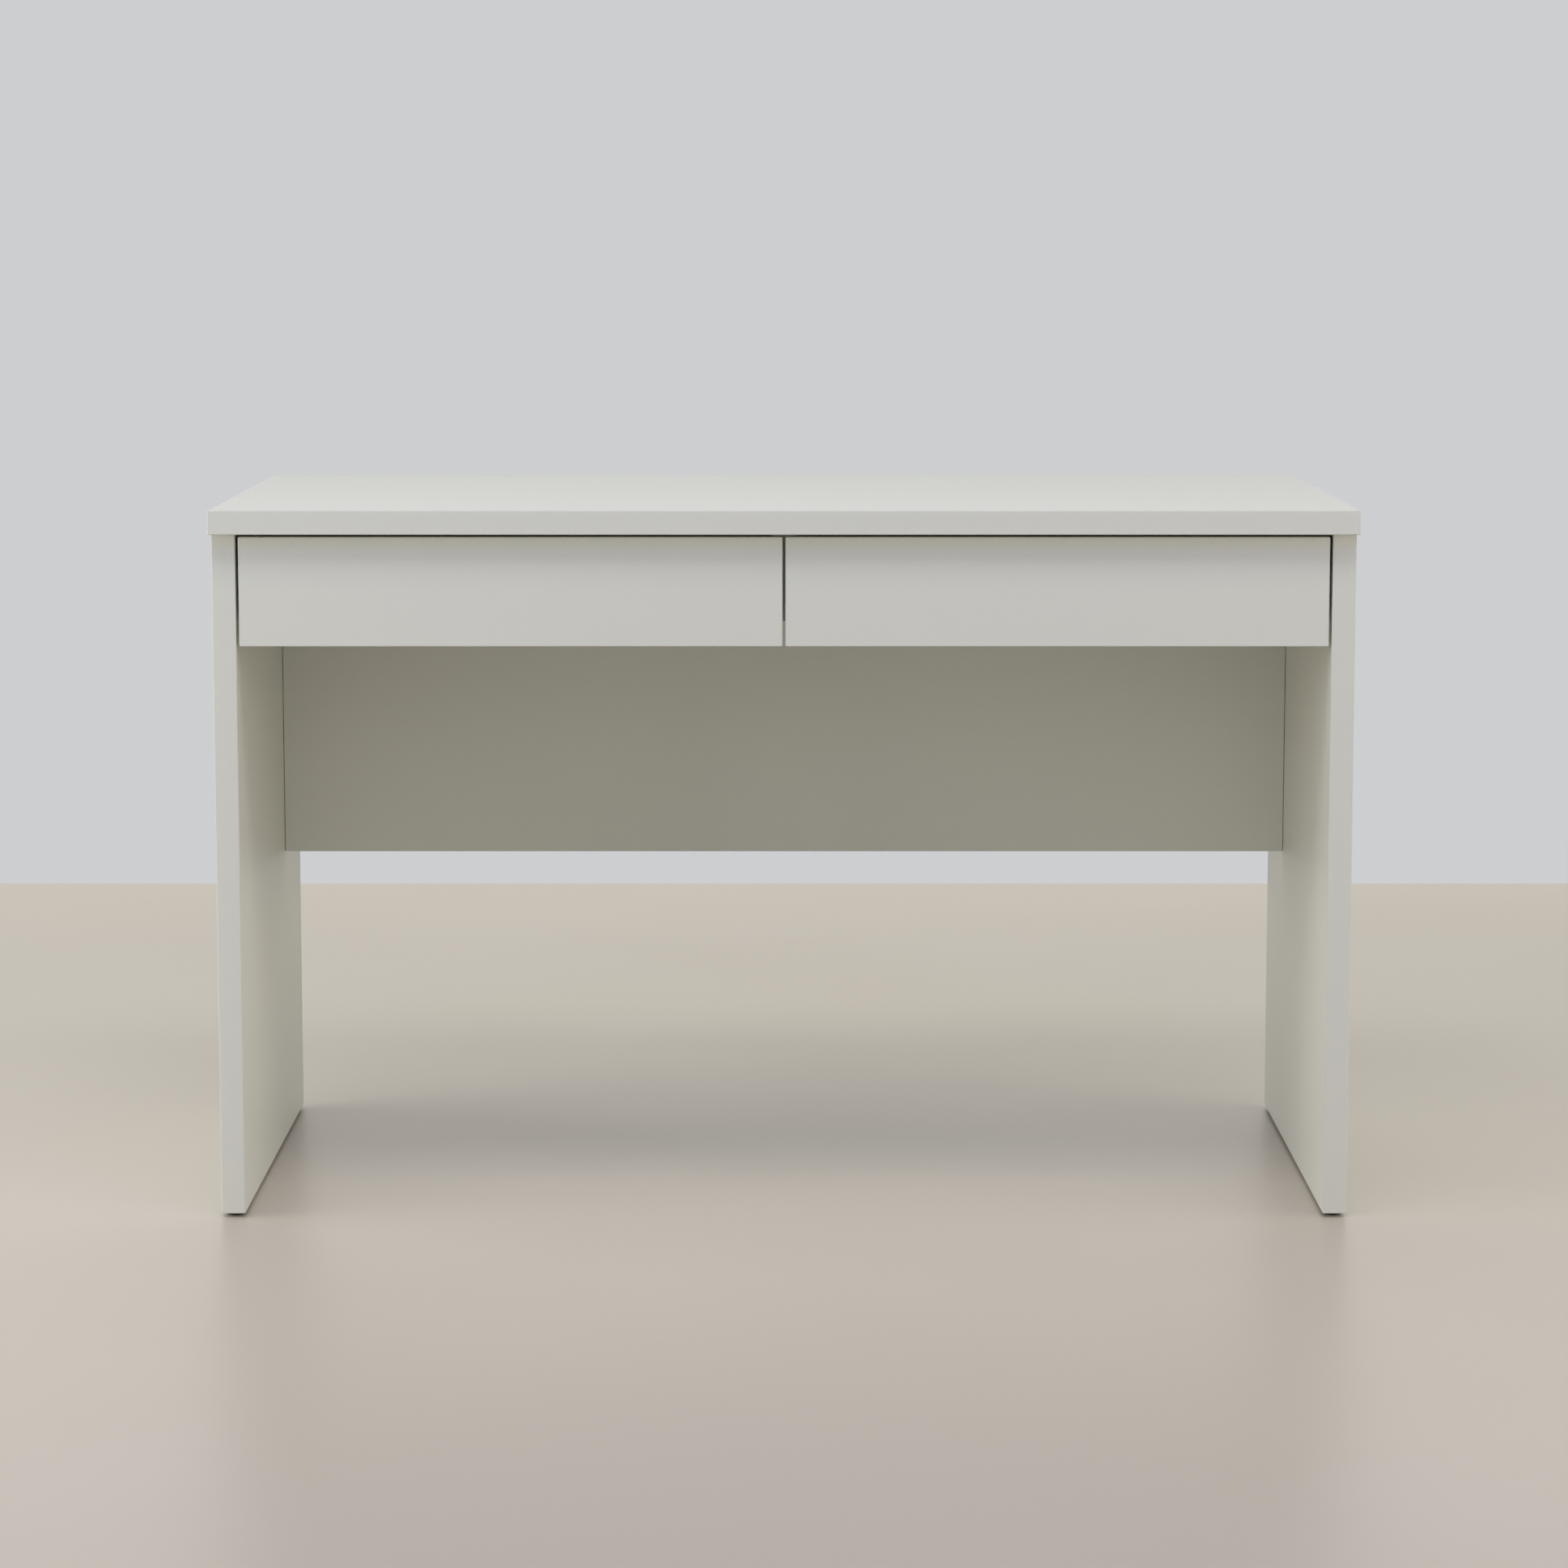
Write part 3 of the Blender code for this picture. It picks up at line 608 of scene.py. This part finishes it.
def make_bracket_screws(pan_head):
    """Two screws in each angle bracket: one into the divider, one up into the desktop."""
    above_foot, from_tip = 7 * MM, 4.2 * MM
    for side in SIDES:
        node = f"divider_bracket_{side}"
        low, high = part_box(node)
        out = 1 if side == "right" else -1
        near, far = (low.x, high.x) if out > 0 else (high.x, low.x)
        y = (low.y + high.y) / 2
        on_side = (near + out * (BRACKET_GAUGE + TINY), y, low.z + above_foot)
        on_top = (far - out * from_tip, y, high.z - BRACKET_GAUGE - TINY)
        place_copy(f"{node}_side_screw", pan_head, on_side, out * X, "root", 0.4)
        place_copy(f"{node}_top_screw", pan_head, on_top, -Z, "root", 1.1)


def make_drawer_fittings(cap, pan_head):
    """Capped cams inside each drawer near its front, and screws through its sides into its back."""
    cap_behind_front, cap_below_top, cap_above_foot = 24 * MM, 17 * MM, 30 * MM
    screw_below_top, screw_above_foot = 12 * MM, 8 * MM
    for drawer in DRAWERS:
        back_low, back_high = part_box(drawer + "_back")
        into_back = (back_low.y + back_high.y) / 2
        for side in SIDES:
            low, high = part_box(f"{drawer}_{side}_side")
            inward = 1 if side == "left" else -1
            inner, outer = (high.x, low.x) if inward > 0 else (low.x, high.x)
            for level, z in (("upper", high.z - cap_below_top), ("lower", low.z + cap_above_foot)):
                on_board = (inner + inward * TINY, low.y + cap_behind_front, z)
                place_copy(f"{drawer}_{side}_{level}_cap", cap, on_board, inward * X, drawer)
            for level, z in (("upper", high.z - screw_below_top), ("lower", low.z + screw_above_foot)):
                on_board = (outer - inward * TINY, into_back, z)
                place_copy(f"{drawer}_{side}_{level}_back_screw", pan_head, on_board, -inward * X, drawer,
                           0.9)


def make_fittings():
    """Models of the screws and the cap, all their copies, and then the models go."""
    pan_head = screw_head("pan_head_model", 3.4 * MM, 1.7 * MM, 2.2 * MM)
    flat_head = screw_head("flat_head_model", 3.3 * MM, 0.14 * MM, 2.2 * MM)
    # radius and height of the cap's outline, in mm
    cap_profile = [(0, 0.75), (6.6, 0.72), (7.4, 0.6), (8.0, 0.35), (8.2, 0.1), (8.2, 0), (0, 0)]
    cap = new_object("cap_model", turned_bmesh([(r * MM, z * MM) for r, z in cap_profile], 48),
                     finishes["cap"], 50)
    make_slides(pan_head, flat_head)
    make_bracket_screws(pan_head)
    make_drawer_fittings(cap, pan_head)
    for model in (pan_head, flat_head, cap):
        bpy.data.objects.remove(model)


# ---------------------------------------------------------------- stage, light and camera


def make_stage():
    bm = bmesh.new()
    bmesh.ops.create_grid(bm, x_segments=1, y_segments=1, size=FLOOR_REACH)
    floor = new_object("floor", bm, floor_finish())


# name: place, what it faces, width and height, watts, colour
SOFTBOXES = {
    "ceiling": ((0, -1.4, 3.0), (0, -1.4, 0), (3.4, 0.9), 38.0, (1.0, 0.99, 0.95)),
    "ceiling_front": ((0, -2.6, 3.0), (0, -0.3, 0.4), (3.4, 1.6), 17.0, (0.30, 0.30, 1.0)),
    "left_window": ((-3.4, 0, 1.5), (0, 0, 0.5), (2.6, 2.0), 42.0, (0.96, 0.97, 1.0)),
    "left_low": ((-3.0, -1.2, 0.9), (0, -0.2, 0.4), (2.0, 1.2), 34.5, (1.0, 0.98, 0.88)),
    "right_window": ((3.4, 0, 1.5), (0, 0, 0.5), (2.6, 2.0), 20.0, (1.0, 0.97, 0.84)),
    "right_low": ((3.0, -1.2, 0.9), (0, -0.2, 0.4), (2.0, 1.2), 28.0, (1.0, 0.94, 0.78)),
    "wall_bounce": ((0, 2.4, 1.15), (0, 0, 1.0), (6.0, 2.2), 31.5, (1.0, 0.96, 0.84)),
    "skirting_bounce": ((0, 2.3, 0.24), (0, 0, 0.24), (5.0, 0.44), 5.0, (1.0, 0.93, 0.82)),
    "front_fill": ((0, -5.6, 1.5), (0, 0, 0.5), (3.0, 2.4), 12.0, (1.0, 1.0, 0.84)),
}


def make_softbox(name, place, target, size, power, colour):
    light = bpy.data.lights.new(name, "AREA")
    light.shape = "RECTANGLE"
    light.size, light.size_y = size
    light.energy = power
    light.color = colour
    obj = bpy.data.objects.new(name, light)
    bpy.context.scene.collection.objects.link(obj)
    obj.location = place
    obj.rotation_euler = (Vector(target) - Vector(place)).to_track_quat("-Z", "Y").to_euler()
    obj.visible_camera = False


def make_light():
    """A pale even background, a cool fill from all round and softboxes."""
    world = bpy.data.worlds.new("pale_room")
    bpy.context.scene.world = world
    world.use_nodes = True
    tree = world.node_tree
    fill = tree.nodes["Background"]
    fill.inputs["Color"].default_value = (*SKY, 1.0)
    seen = tree.nodes.new("ShaderNodeBackground")
    seen.inputs["Color"].default_value = (*BACKGROUND, 1.0)
    path = tree.nodes.new("ShaderNodeLightPath")
    choose = tree.nodes.new("ShaderNodeMixShader")
    tree.links.new(path.outputs["Is Camera Ray"], choose.inputs[0])
    tree.links.new(fill.outputs[0], choose.inputs[1])
    tree.links.new(seen.outputs[0], choose.inputs[2])
    tree.links.new(choose.outputs[0], tree.nodes["World Output"].inputs["Surface"])
    for name, settings in SOFTBOXES.items():
        make_softbox(name, *settings)
    # Its reflection would be a bright band across the floor.
    bpy.data.objects["skirting_bounce"].visible_glossy = False


def make_camera():
    low = cad_box[0]
    data = bpy.data.cameras.new("camera")
    data.sensor_width = CAMERA_SENSOR
    data.lens = CAMERA_LENS
    camera = bpy.data.objects.new("camera", data)
    bpy.context.scene.collection.objects.link(camera)
    camera.location = (0, low[1] - CAMERA_DISTANCE, CAMERA_HEIGHT)
    camera.rotation_euler = (math.pi / 2 - CAMERA_PITCH, 0, 0)
    bpy.context.scene.camera = camera


def main():
    make_camera()
    make_light()
    make_stage()
    dress_cad()
    sharp_edges = sharp_by_angle(SHARP_ANGLE)
    for obj in cad.values():
        tidy_shading(obj, sharp_edges)
    make_fittings()


main()
bpy.context.scene.view_settings.view_transform = "Standard"
